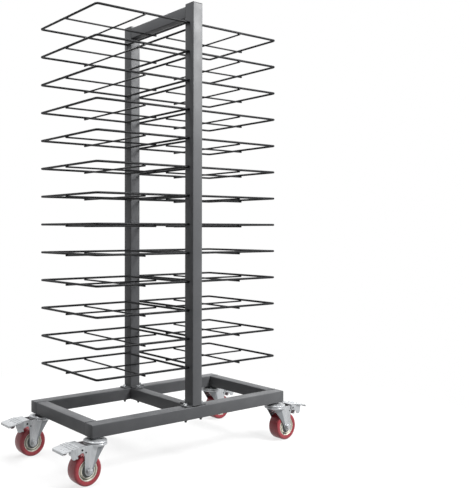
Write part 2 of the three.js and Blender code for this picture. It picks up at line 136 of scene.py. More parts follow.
def clear_tree(owner: bpy.types.ID) -> bpy.types.NodeTree:
    """Turns on a material's or world's nodes and returns their tree, emptied."""
    owner.use_nodes = True
    owner.node_tree.nodes.clear()
    return owner.node_tree


def add_node(
    tree: bpy.types.NodeTree,
    kind: str,
    settings: Optional[dict[Any, Any]] = None,
    links: Optional[dict[Any, bpy.types.NodeSocket]] = None,
) -> bpy.types.Node:
    """Adds a shader node with its settings and links.

    Args:
        tree: the material's or world's node tree.
        kind: the node's type.
        settings: values by property name, or by input name or number.
        links: sockets to join, by input name or number.

    Returns:
        The new node.
    """
    node = tree.nodes.new(kind)
    for key, value in (settings or {}).items():
        if isinstance(key, str) and key in node.bl_rna.properties:
            setattr(node, key, value)
        else:
            node.inputs[key].default_value = value
    for key, socket in (links or {}).items():
        tree.links.new(socket, node.inputs[key])
    return node


def noise(
    tree: bpy.types.NodeTree, size_mm: float, detail: float, roughness: float,
    place: bpy.types.NodeSocket,
) -> bpy.types.NodeSocket:
    """Adds noise with patches of size_mm that follows place, and returns its strength."""
    return add_node(
        tree, "ShaderNodeTexNoise",
        {"Scale": 1 / (size_mm * MM), "Detail": detail, "Roughness": roughness},
        {"Vector": place},
    ).outputs["Fac"]


class Streak(Enum):
    """The way that a surface's marks run, as a stretch of the pattern on X, Y and Z."""

    NONE = (1.0, 1.0, 1.0)
    UPRIGHT = (1.0, 1.0, 0.12)


@dataclass(frozen=True)
class Finish:
    """A surface: what it is made of, and the marks that its making leaves; some finishes also carry
    painted shade.
    """

    name: str
    slot: str
    colour: str
    shade: str
    roughness: float
    spread: float
    mottle_mm: float
    grain_mm: float
    grain_depth_mm: float
    metallic: float = 0.0
    ior: float = 1.5
    streak: Streak = Streak.NONE
    coat: float = 0.0
    specular: float = 0.5
    scuff: str = ""
    scuff_mm: float = 30.0

    def material(self) -> bpy.types.Material:
        """Makes the finish's node material, once.

        Returns:
            The material, shared by every piece with this finish.
        """
        known = bpy.data.materials.get(self.name)
        if known:
            return known
        made = bpy.data.materials.new(self.name)
        tree = clear_tree(made)
        place = add_node(tree, "ShaderNodeTexCoord").outputs["Object"]
        stretched = add_node(
            tree, "ShaderNodeMapping", {"Scale": self.streak.value}, {"Vector": place}
        ).outputs["Vector"]
        mottle = noise(tree, self.mottle_mm, 4.0, 0.6, stretched)
        grain = noise(tree, self.grain_mm, 2.0, 0.5, stretched)
        tone = add_node(
            tree, "ShaderNodeMapRange", {"From Min": 0.3, "From Max": 0.7}, {"Value": mottle}
        ).outputs["Result"]
        colour = add_node(
            tree, "ShaderNodeMix",
            {"data_type": "RGBA", MIX_A: linear(self.colour), MIX_B: linear(self.shade)},
            {MIX_SHARE: tone},
        ).outputs[MIX_RESULT]
        if self.scuff:
            colour = self.scuffed(tree, place, colour)
        rough = add_node(
            tree, "ShaderNodeMapRange",
            {"From Min": 0.25, "From Max": 0.75,
             "To Min": self.roughness - self.spread, "To Max": self.roughness + self.spread},
            {"Value": mottle},
        ).outputs["Result"]
        bump = add_node(
            tree, "ShaderNodeBump", {"Strength": 0.6, "Distance": self.grain_depth_mm * MM},
            {"Height": grain},
        ).outputs["Normal"]
        shader = add_node(
            tree, "ShaderNodeBsdfPrincipled",
            {"Metallic": self.metallic, "IOR": self.ior, "Coat Weight": self.coat,
             "Specular IOR Level": self.specular},
            {"Base Color": colour, "Roughness": rough, "Normal": bump},
        )
        add_node(tree, "ShaderNodeOutputMaterial", {}, {"Surface": shader.outputs["BSDF"]})
        return made

    def scuffed(
        self, tree: bpy.types.NodeTree, place: bpy.types.NodeSocket, colour: bpy.types.NodeSocket
    ) -> bpy.types.NodeSocket:
        """Lays faint patches of wear or dust over the colour.

        Args:
            tree: the material's node tree.
            place: the Object coordinates.
            colour: the colour under the patches.

        Returns:
            The colour with its patches.
        """
        worn = add_node(
            tree, "ShaderNodeMapRange", {"From Min": 0.52, "From Max": 0.75, "To Max": 0.35},
            {"Value": noise(tree, self.scuff_mm, 6.0, 0.7, place)},
        ).outputs["Result"]
        return add_node(
            tree, "ShaderNodeMix", {"data_type": "RGBA", MIX_B: linear(self.scuff)},
            {MIX_SHARE: worn, MIX_A: colour},
        ).outputs[MIX_RESULT]


# Powder coat baked on steel tube: satin, with a fine orange-peel skin. The peel is drawn
# at 2.5 mm, coarser than the real 1 mm, so that it shows.
POWDER_COAT = Finish(
    "powder_coated_steel", "paint", "58595b", "505153", roughness=0.42, spread=0.06,
    mottle_mm=60.0, grain_mm=2.5, grain_depth_mm=0.05, specular=0.18, scuff="5d5e60",
)
# The same coat on drawn wire: darker, and smoother along the wire.
WIRE_COAT = Finish(
    "powder_coated_wire", "paint", "161719", "101113", roughness=0.4, spread=0.05,
    mottle_mm=25.0, grain_mm=1.6, grain_depth_mm=0.03, specular=0.1,
)
# Weld beads under the coat: darker in their ripples.
WELD_COAT = Finish(
    "coated_weld", "paint", "48494b", "3b3c3e", roughness=0.5, spread=0.08,
    mottle_mm=4.0, grain_mm=1.2, grain_depth_mm=0.08, specular=0.3,
)
# Moulded polyethylene: matt, with a spark-eroded grain.
CAP_PLASTIC = Finish(
    "moulded_polyethylene", "cap_plastic", "2f3032", "262729", roughness=0.55, spread=0.06,
    mottle_mm=20.0, grain_mm=0.9, grain_depth_mm=0.04,
)
# Bright zinc on the caster's steel: a cool white metal, cloudy where the sheet was drawn.
ZINC = Finish(
    "bright_zinc_pressing", "zinc", "bcbec0", "a5a8ab", roughness=0.3, spread=0.08,
    mottle_mm=14.0, grain_mm=1.5, grain_depth_mm=0.02, metallic=0.45,
    streak=Streak.UPRIGHT, scuff="85898c", scuff_mm=18.0,
)
# Zinc on the fork's rear panels: a darker copy of the pressing's zinc whose darkness is painted
# shade, and a little rougher.
ZINC_PAINTED_SHADE = replace(
    ZINC, name="zinc_pressing_painted_shade", colour="8e9194", shade="7a7e81", roughness=0.4,
    scuff="6f7376",
)
# Zinc on the foot bolts and their washers, smoother than the pressings.
ZINC_BRIGHT = Finish(
    "bright_zinc_fastener", "zinc", "d2d4d5", "b4b7b9", roughness=0.2, spread=0.05,
    mottle_mm=6.0, grain_mm=0.8, grain_depth_mm=0.01, metallic=0.95,
)
# Blackened steel of the pins, rivets and lower nuts.
DARK_STEEL = Finish(
    "blackened_steel", "zinc", "252627", "1b1c1d", roughness=0.45, spread=0.08,
    mottle_mm=6.0, grain_mm=0.9, grain_depth_mm=0.02, metallic=0.7,
)
# Cast polyurethane: a deep red with a waxy, slightly dusty skin.
TREAD = Finish(
    "cast_polyurethane", "tread", "a02e38", "8c2630", roughness=0.38, spread=0.06,
    mottle_mm=18.0, grain_mm=1.2, grain_depth_mm=0.03, coat=0.15, scuff="a0444c", scuff_mm=12.0,
)
# Moulded nylon core: ivory and semi-gloss.
CORE = Finish(
    "moulded_nylon", "wheel_core", "f0ede2", "e4e1d4", roughness=0.4, spread=0.05,
    mottle_mm=16.0, grain_mm=1.0, grain_depth_mm=0.02, ior=1.53,
)
# Painted shade: a dark grey-green for the thin sheet on the floor of the recess between the core's
# rings.
RECESS_PAINTED_SHADE = Finish(
    "recess_painted_shade", "wheel_core", "8f9285", "7a7d72", roughness=0.55, spread=0.05,
    mottle_mm=10.0, grain_mm=1.0, grain_depth_mm=0.03, ior=1.53,
)
# Grey moulded cover over the wheel bearing; its grey is deepened with painted shade for the shaded
# centre of the hub.
COVER = Finish(
    "bearing_cover_plastic", "wheel_core", "5e6361", "4d5250", roughness=0.45, spread=0.05,
    mottle_mm=9.0, grain_mm=0.9, grain_depth_mm=0.03,
)


@dataclass(frozen=True)
class Bead:
    """A weld bead: half its width, and the way from one ripple to the next."""

    radius: float
    step: float


RAIL_BEAD = Bead(1.8, 1.8)
POST_BEAD = Bead(1.6, 1.7)


class Form:
    """A mesh under construction, in millimetres, made with bmesh operators."""

    def __init__(self) -> None:
        """Starts with nothing."""
        self.bm = bmesh.new()

    def rounded_bar(
        self, low: Vector, high: Vector, axis: int, corner: float, ends: float = 0.0
    ) -> "Form":
        """Adds a bar with rounded long edges.

        Args:
            low: lowest corner.
            high: highest corner.
            axis: the axis, 0 to 2, that the long edges run along.
            corner: radius of the long edges.
            ends: radius of the edges of both ends.

        Returns:
            This form.
        """
        size = high - low
        made = bmesh.ops.create_cube(self.bm, size=1.0)["verts"]
        bmesh.ops.scale(self.bm, vec=size, verts=made)
        bmesh.ops.translate(self.bm, vec=(low + high) / 2, verts=made)
        edges = {e for v in made for e in v.link_edges}
        long = [e for e in edges if abs((e.verts[0].co - e.verts[1].co)[axis]) > size[axis] / 2]
        self.bevel(long, corner, Steps.CORNER)
        if ends:
            faces = [f for f in self.bm.faces
                     if len(f.verts) > 4 and abs(f.normal[axis]) > END_FACE]
            self.bevel([e for f in faces for e in f.edges], ends, Steps.EDGE)
        return self

    def bevel(self, edges: Sequence[bmesh.types.BMEdge], width: float, segments: int) -> None:
        """Rounds the edges to a width, with this many faces across each."""
        bmesh.ops.bevel(
            self.bm, geom=list(edges), offset=width, offset_type="OFFSET", segments=segments,
            profile=0.5, affect="EDGES", clamp_overlap=True, material=-1,
        )

    def soften(self, width: float, angle: float = 30.0) -> "Form":
        """Rounds every edge that is sharper than angle degrees and returns this form."""
        limit = math.radians(angle)
        sharp = [e for e in self.bm.edges
                 if len(e.link_faces) == 2 and e.calc_face_angle(0) > limit]
        self.bevel(sharp, width, Steps.EDGE)
        return self

    def face_outward(self) -> "Form":
        """Turns every face's normal outward and returns this form."""
        bmesh.ops.recalc_face_normals(self.bm, faces=self.bm.faces[:])
        return self

    def move(self, matrix: Matrix) -> "Form":
        """Moves the form by a matrix and returns it."""
        bmesh.ops.transform(self.bm, matrix=matrix, verts=self.bm.verts[:])
        return self

    def chain(
        self, points: Sequence[Vector]
    ) -> tuple[list[bmesh.types.BMVert], list[bmesh.types.BMEdge]]:
        """Adds a line through the points and returns its vertices and edges."""
        verts = [self.bm.verts.new(point) for point in points]
        return verts, [self.bm.edges.new(pair) for pair in zip(verts, verts[1:])]

    def plate(self, outline: Sequence[Point], low: float, high: float) -> "Form":
        """Adds a plate from an outline drawn in X and Z.

        Args:
            outline: corners in order.
            low: lower face in Y.
            high: upper face in Y.

        Returns:
            This form.
        """
        face = self.bm.faces.new([self.bm.verts.new((x, low, z)) for x, z in outline])
        grown = bmesh.ops.extrude_face_region(self.bm, geom=[face])["geom"]
        top = [g for g in grown if isinstance(g, bmesh.types.BMVert)]
        bmesh.ops.translate(self.bm, vec=(0, high - low, 0), verts=top)
        return self.face_outward()

    def turned(self, profile: Sequence[Point], axis: Vector, steps: int, at: Vector) -> "Form":
        """Adds a turned shape.

        Args:
            profile: pairs of radius and place along the axis.
            axis: the axis, +Y or +Z.
            steps: facets round it.
            at: the axis's own zero.

        Returns:
            This form.
        """
        side = Vector((1, 0, 0))
        verts, edges = self.chain([at + side * r + axis * h for r, h in profile])
        bmesh.ops.spin(
            self.bm, geom=[*verts, *edges], cent=at, axis=axis, angle=TURN, steps=steps,
            use_merge=True, use_normal_flip=False, use_duplicate=False,
        )
        bmesh.ops.remove_doubles(self.bm, verts=self.bm.verts[:], dist=MERGE_MM)
        return self.face_outward()

    def hexagon(self, across: float, height: float, at: Vector, axis: Vector) -> "Form":
        """Adds a chamfered bolt head or nut.

        Args:
            across: width across its flats.
            height: along the axis.
            at: its middle.
            axis: the axis, +Y or +Z.

        Returns:
            This form.
        """
        radius = across / math.sqrt(3)
        turn = axis.to_track_quat("Z", "Y").to_matrix().to_4x4()
        made = bmesh.ops.create_cone(
            self.bm, cap_ends=True, segments=6, radius1=radius, radius2=radius, depth=height,
            matrix=Matrix.Translation(at) @ turn,
        )["verts"]
        rims = [e for e in {e for v in made for e in v.link_edges}
                if abs((e.verts[0].co - e.verts[1].co).dot(axis)) < height / 2]
        self.bevel(rims, height * HEX_CHAMFER, Steps.EDGE)
        return self

    def bead(self, start: Vector, end: Vector, bead: Bead) -> "Form":
        """Adds a rippled weld bead between two points.

        Args:
            start: first point.
            end: last point.
            bead: the bead's sizes.

        Returns:
            This form.
        """
        count = max(1, round((end - start).length / bead.step))
        for i in range(count + 1):
            spot = Matrix.Translation(start.lerp(end, i / count))
            bmesh.ops.create_icosphere(self.bm, subdivisions=2, radius=bead.radius, matrix=spot)
        return self

    def wire(
        self, start: Vector, radius: float, moves: Sequence[tuple],
        sides: int = Facets.FRAME_WIRE,
    ) -> "Form":
        """Adds a bent round wire, run out from its start.

        Args:
            start: centre of its first end.
            radius: half its diameter.
            moves: a way to go as ("go", vector), or a bend as ("bend", centre, angle) round Z.
            sides: facets round it.

        Returns:
            This form.
        """
        first = moves[0][1].normalized()
        turn = first.to_track_quat("Z", "Y").to_matrix().to_4x4()
        made = bmesh.ops.create_circle(
            self.bm, cap_ends=True, segments=sides, radius=radius,
            matrix=Matrix.Translation(start) @ turn,
        )["verts"]
        ring = [e for e in {e for v in made for e in v.link_edges}
                if all(v in made for v in e.verts)]
        for move in moves:
            if move[0] == "go":
                grown = bmesh.ops.extrude_edge_only(self.bm, edges=ring)["geom"]
                tips = [g for g in grown if isinstance(g, bmesh.types.BMVert)]
                bmesh.ops.translate(self.bm, vec=move[1], verts=tips)
                fresh = set(tips)
                ring = [g for g in grown if isinstance(g, bmesh.types.BMEdge)
                        and all(v in fresh for v in g.verts)]
            else:
                rim = list({v for e in ring for v in e.verts})
                last = bmesh.ops.spin(
                    self.bm, geom=[*rim, *ring], cent=move[1], axis=UP, angle=move[2],
                    steps=Steps.BEND, use_merge=False, use_normal_flip=False,
                    use_duplicate=False,
                )["geom_last"]
                ring = [g for g in last if isinstance(g, bmesh.types.BMEdge)]
        bmesh.ops.contextual_create(self.bm, geom=ring)
        return self.face_outward()

    def mesh(self, name: str) -> bpy.types.Mesh:
        """Ends the form and returns it as a mesh with this name."""
        made = bpy.data.meshes.new(name)
        self.bm.to_mesh(made)
        self.bm.free()
        return made

    def take(self, other: "Form") -> "Form":
        """Adds another form's mesh to this one, ends that form and returns this one."""
        mesh = other.mesh("taken")
        self.bm.from_mesh(mesh)
        bpy.data.meshes.remove(mesh)
        return self

    def piece(
        self,
        name: str,
        finish: Finish,
        body: str,
        place: Matrix = Matrix.Identity(4),
        stands_for: Sequence[str] = (),
        sharp: float = SHARP,
    ) -> bpy.types.Object:
        """Makes the form a piece of the rack, in metres, with its place in its mesh.

        Args:
            name: the piece's name.
            finish: its surface.
            body: the body it moves with.
            place: from the form's own frame to the rack's, in millimetres.
            stands_for: nodes that it replaces.
            sharp: least angle, in degrees, of an edge that shows.

        Returns:
            The piece.
        """
        self.move(Matrix.Scale(MM, 4) @ place)
        bmesh.ops.remove_doubles(self.bm, verts=self.bm.verts[:], dist=MERGE_MM * MM)
        mesh = self.face_outward().mesh(name)
        mesh.shade_smooth()
        mesh.set_sharp_from_angle(angle=math.radians(sharp))
        mesh.materials.append(finish.material())
        made = add_object(name, mesh)
        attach(made, body)
        if stands_for:
            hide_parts(*stands_for)
        log.info("%s: %d faces on %s", name, len(mesh.polygons), body)
        return made


def arc(centre: Point, radius: float, start: float, end: float, steps: int) -> list[Point]:
    """Gives points along an arc from start to end, in degrees, with steps spaces between them."""
    angles = [math.radians(start + (end - start) * i / steps) for i in range(steps + 1)]
    return [(centre[0] + math.cos(a) * radius, centre[1] + math.sin(a) * radius) for a in angles]


def curve(start: Point, pull: Point, end: Point, steps: int) -> list[Point]:
    """Gives points along a curve from start to end, drawn towards pull.

    Args:
        start: first point.
        pull: point that draws the curve.
        end: last point.
        steps: spaces between the points.

    Returns:
        The points in order.
    """
    points = []
    for t in (i / steps for i in range(steps + 1)):
        a, b, c = (1 - t) ** 2, 2 * t * (1 - t), t ** 2
        x, z = (a * start[k] + b * pull[k] + c * end[k] for k in (0, 1))
        points.append((x, z))
    return points


def set_in(corner: Point, steps: Sequence[Point]) -> list[Point]:
    """Gives a profile's points, each set in from a corner on the radius and along the axis."""
    return [(corner[0] - a, corner[1] - b) for a, b in steps]


def mirrored(side: Sequence[Point]) -> list[Point]:
    """Gives the other half of a profile that is the same on both sides of zero."""
    return [(radius, -place) for radius, place in reversed(side)]


def ring(first: float, second: float, low: float, high: float, edge: float = 0.0) -> list[Point]:
    """Gives a ring's closed profile.

    Args:
        first: one radius.
        second: the other radius.
        low: one face along the axis.
        high: the other face.
        edge: chamfer at the second radius.

    Returns:
        The points in order.
    """
    if not edge:
        return [(first, low), (second, low), (second, high), (first, high), (first, low)]
    return [
        (first, low), (second - edge, low), (second, low + edge), (second, high - edge),
        (second - edge, high), (first, high), (first, low),
    ]


def shaft(radius: float, low: float, high: float, edge: float) -> list[Point]:
    """Gives a shaft's profile from low to high, with a chamfered edge at its lower end."""
    return [(0, low), (radius - edge, low), (radius, low + edge), (radius, high), (0, high)]


def square(half: float, low: float, high: float) -> tuple[Vector, Vector]:
    """Gives the lowest and highest corner of an upright square bar."""
    return Vector((-half, -half, low)), Vector((half, half, high))


def straight_tube(node: str, axis: int, ends: float = 0.0) -> tuple[Vector, Vector]:
    """Makes a straight tube in a node's place.

    Args:
        node: the node that it replaces.
        axis: the axis, 0 to 2, that it runs along.
        ends: radius of the edges of its closed ends.

    Returns:
        Its lowest and highest corner in millimetres.
    """
    low, high = (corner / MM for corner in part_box(node))
    form = Form().rounded_bar(low, high, axis, TUBE_CORNER, ends)
    form.piece(f"{node}_tube", POWDER_COAT, RACK, stands_for=[node])
    return low, high


@dataclass
class Base:
    """The base: two closed long rails and three rails welded between them."""

    plate_edge: float = 0.8

    def build(self) -> None:
        """Makes the rails and the welds where they meet."""
        for name in ("front_rail", "rear_rail"):
            straight_tube(name, 0, self.plate_edge)
        for name in ("left_rail", "right_rail", "centre_rail"):
            self.welds(name, *straight_tube(name, 1))

    def welds(self, name: str, low: Vector, high: Vector) -> None:
        """Lays beads along the top and bottom of a rail's two ends.

        Args:
            name: the rail.
            low: its lowest corner.
            high: its highest corner.
        """
        beads = Form()
        left, right = low.x + TUBE_CORNER, high.x - TUBE_CORNER
        for y in (low.y, high.y):
            for z in (low.z + BEAD_SINK, high.z - BEAD_SINK):
                beads.bead(Vector((left, y, z)), Vector((right, y, z)), RAIL_BEAD)
        beads.piece(f"{name}_welds", WELD_COAT, RACK)


@dataclass
class Post:
    """A post with its foot, bolts and cap, drawn from the rail's top with +Y inward."""

    row: str
    wall: float = 2.0
    height: float = 1372.0
    hollow: float = 40.0
    hole_radius: float = 4.3
    hole_depth: float = 16.0
    foot_thickness: float = 4.0
    foot_width: float = 36.0
    foot_corner: float = 6.0
    foot_edge: float = 0.6
    weld_rise: float = 0.4
    bolt_reach: float = 34.0
    bolt_inward: float = 40.0
    bolt_margin: float = 12.0
    bolt_radius: float = 4.0
    bolt_edge: float = 0.6
    head_across: float = 13.0
    head_height: float = 5.5
    tail: float = 6.0
    washer_radius: float = 8.5
    washer_thickness: float = 1.6
    washer_edge: float = 0.4
    cap_thickness: float = 2.5
    cap_edge: float = 0.9
    skirt: float = 12.0
    skirt_join: float = 0.5
    skirt_corner: float = 1.0
    place: Matrix = field(init=False)

    def __post_init__(self) -> None:
        """Works out the post's place."""
        y, turn = (-POST_Y, 0.0) if self.row == "front" else (POST_Y, math.pi)
        self.place = Matrix.Translation((0, y, RAIL_TOP)) @ Matrix.Rotation(turn, 4, "Z")

    def build(self) -> None:
        """Makes the post's pieces."""
        self.tube()
        self.foot()
        self.bolts()
        self.cap()

    def put(self, form: Form, part: str, finish: Finish, node: str = "") -> bpy.types.Object:
        """Makes a form a piece of this post, in a node's place if one is named."""
        stands_for = [f"{self.row}_{node}"] if node else []
        return form.piece(f"{self.row}_{part}", finish, RACK, self.place, stands_for)

    def tube(self) -> None:
        """Makes the tube, hollow at its top, with two holes for each level's prongs."""
        bottom = GAP + self.foot_thickness
        form = Form().rounded_bar(*square(POST_SIZE / 2, bottom, self.height), 2, TUBE_CORNER)
        top = [f for f in form.bm.faces if f.normal.z > END_FACE]
        bmesh.ops.inset_region(form.bm, faces=top, thickness=self.wall)
        floor = list({v for f in top for v in f.verts})
        bmesh.ops.translate(form.bm, vec=UP * -self.hollow, verts=floor)
        self.pierce(self.put(form, "post_tube", POWDER_COAT, "post"))

    def pierce(self, tube: bpy.types.Object) -> None:
        """Sinks the prong holes into the tube's two sides.

        Args:
            tube: the tube's piece.
        """
        drill = Form()
        turn = Matrix.Rotation(math.pi / 2, 4, "Y")
        for level in range(LEVELS):
            for side in (-1, 1):
                at = Vector((side * POST_SIZE / 2, 0, LOWEST_LEVEL + level * LEVEL_PITCH))
                bmesh.ops.create_cone(
                    drill.bm, cap_ends=True, segments=Facets.HOLE, radius1=self.hole_radius,
                    radius2=self.hole_radius, depth=self.hole_depth,
                    matrix=Matrix.Translation(at) @ turn,
                )
        mesh = drill.move(Matrix.Scale(MM, 4) @ self.place).mesh("drill")
        tool = add_object("drill", mesh)
        cutting = tube.modifiers.new("prong_holes", "BOOLEAN")
        cutting.operation = "DIFFERENCE"
        cutting.solver = "EXACT"
        cutting.object = tool
        bpy.context.view_layer.update()
        seen = tube.evaluated_get(bpy.context.evaluated_depsgraph_get())
        pierced = bpy.data.meshes.new_from_object(seen)
        tube.modifiers.remove(cutting)
        old = tube.data
        tube.data = pierced
        pierced.name = tube.name
        bpy.data.meshes.remove(old)
        bpy.data.objects.remove(tool)
        bpy.data.meshes.remove(mesh)

    def foot(self) -> None:
        """Makes a foot of three ears, and the weld between it and the tube."""
        ear = self.bolt_reach + self.bolt_margin
        inward = self.bolt_inward + self.bolt_margin
        half, r = self.foot_width / 2, self.foot_corner
        outline = [
            *arc((r - ear, r - half), r, 180, 270, Steps.CORNER),
            *arc((ear - r, r - half), r, 270, 360, Steps.CORNER),
            *arc((ear - r, half - r), r, 0, 90, Steps.CORNER), (half, half),
            *arc((half - r, inward - r), r, 0, 90, Steps.CORNER),
            *arc((r - half, inward - r), r, 90, 180, Steps.CORNER), (-half, half),
            *arc((r - ear, half - r), r, 90, 180, Steps.CORNER),
        ]
        top = GAP + self.foot_thickness
        plate = Form().plate(outline, GAP, top).move(LAY_FLAT).soften(self.foot_edge)
        self.put(plate, "post_foot", POWDER_COAT)
        side, z = POST_SIZE / 2, top + self.weld_rise
        inset = side - TUBE_CORNER
        beads = Form()
        for a, b in (((-inset, -side), (inset, -side)), ((-inset, side), (inset, side)),
                     ((-side, -inset), (-side, inset)), ((side, -inset), (side, inset))):
            beads.bead(Vector((*a, z)), Vector((*b, z)), POST_BEAD)
        self.put(beads, "post_foot_welds", WELD_COAT)

    def bolts(self) -> None:
        """Makes the foot's bolts with their washers, and the nuts under the rails."""
        seat = GAP + self.foot_thickness + GAP
        face = seat + self.washer_thickness
        under = -RAIL_HEIGHT - GAP
        end = under - self.head_height - self.tail
        washer = ring(self.bolt_radius, self.washer_radius, seat, face, self.washer_edge)
        tail = shaft(self.bolt_radius, end, under, self.bolt_edge)
        half = self.head_height / 2
        heads, nuts = Form(), Form()
        for x, y in ((-self.bolt_reach, 0), (self.bolt_reach, 0), (0, self.bolt_inward)):
            base = Vector((x, y, 0))
            heads.turned(washer, UP, Facets.AXLE, base)
            heads.hexagon(self.head_across, self.head_height, base + UP * (face + half), UP)
            nuts.hexagon(self.head_across, self.head_height, base + UP * (under - half), UP)
            nuts.turned(tail, UP, Facets.RIVET, base)
        self.put(heads, "foot_bolts", ZINC_BRIGHT)
        self.put(nuts, "foot_nuts", DARK_STEEL)

    def cap(self) -> None:
        """Makes the moulded cap with its skirt."""
        low = self.height + GAP
        top = square(POST_SIZE / 2, low, low + self.cap_thickness)
        inner = POST_SIZE / 2 - self.wall - GAP
        skirt = square(inner, low - self.skirt, low + self.skirt_join)
        form = Form().rounded_bar(*top, 2, TUBE_CORNER, self.cap_edge)
        form.rounded_bar(*skirt, 2, self.skirt_corner)
        self.put(form, "post_cap_moulding", CAP_PLASTIC, "post_cap")


def top_bar() -> None:
    """Makes the bar between the posts' tops, and the welds on its sides and top."""
    low, high = straight_tube("top_bar", 1)
    left, right = low.x + TUBE_CORNER, high.x - TUBE_CORNER
    bottom, top = low.z + TUBE_CORNER, high.z - TUBE_CORNER
    z = high.z - BEAD_SINK
    beads = Form()
    for y in (low.y, high.y):
        for x in (low.x + BEAD_SINK, high.x - BEAD_SINK):
            beads.bead(Vector((x, y, bottom)), Vector((x, y, top)), POST_BEAD)
        beads.bead(Vector((left, y, z)), Vector((right, y, z)), POST_BEAD)
    beads.piece("top_bar_welds", WELD_COAT, RACK)


@dataclass
class Shelves:
    """The wire shelves, which plug into the posts' sides."""

    length: float = 375.0
    bend: float = 9.0
    frame_wire: float = 7.8
    cross_wire: float = 6.1
    inner_offset: float = 6.0
    cross_end: float = 1.5
    sink: float = 0.8
    prong: float = 14.0
    weld_share: float = 0.56
    weld_shape: Place = (1.15, 1.15, 0.75)

    def build(self) -> None:
        """Makes a shelf for each level on both sides."""
        face = POST_SIZE / 2
        for level in range(LEVELS):
            height = RAIL_TOP + LOWEST_LEVEL + level * LEVEL_PITCH
            for side, turn, x in (("left", math.pi, -face), ("right", 0.0, face)):
                place = Matrix.Translation((x, 0, height)) @ Matrix.Rotation(turn, 4, "Z")
                node = f"shelf_{side}_{LEVELS - level:02d}"
                self.shelf().piece(f"{node}_wires", WIRE_COAT, RACK, place, [node])

    def shelf(self) -> Form:
        """Makes one shelf: the bent frame, the inner wire, two cross wires and their welds."""
        form = Form()
        thick, thin = self.frame_wire / 2, self.cross_wire / 2
        straight = self.length - self.bend
        run = Vector((straight + self.prong, 0, 0))
        near = Vector((straight, self.bend - POST_Y, 0))
        far = Vector((straight, POST_Y - self.bend, 0))
        form.wire(Vector((-self.prong, -POST_Y, 0)), thick, [
            ("go", run), ("bend", near, math.pi / 2), ("go", far - near),
            ("bend", far, math.pi / 2), ("go", -run),
        ])
        inner = self.inner_offset
        form.wire(Vector((inner, -POST_Y, 0)), thick, [("go", ACROSS * 2 * POST_Y)])
        under = self.sink - thick - thin
        past = thick + self.cross_end
        middle = (inner + self.length) / 2
        first = inner - thick
        lengthwise = Vector((self.length + past - first, 0, 0))
        crosswise = ACROSS * 2 * (POST_Y + past)
        for start, way in (((first, 0, under), lengthwise),
                           ((middle, -POST_Y - past, under), crosswise)):
            form.wire(Vector(start), thin, [("go", way)], Facets.CROSS_WIRE)
        for spot in (
            (inner, -POST_Y, 0), (inner, POST_Y, 0), (inner, 0, under / 2),
            (self.length, 0, under / 2), (middle, 0, under),
            (middle, -POST_Y, under / 2), (middle, POST_Y, under / 2),
        ):
            bmesh.ops.create_icosphere(
                form.bm, subdivisions=2, radius=self.frame_wire * self.weld_share,
                matrix=Matrix.Translation(spot) @ Matrix.Diagonal((*self.weld_shape, 1)),
            )
        return form


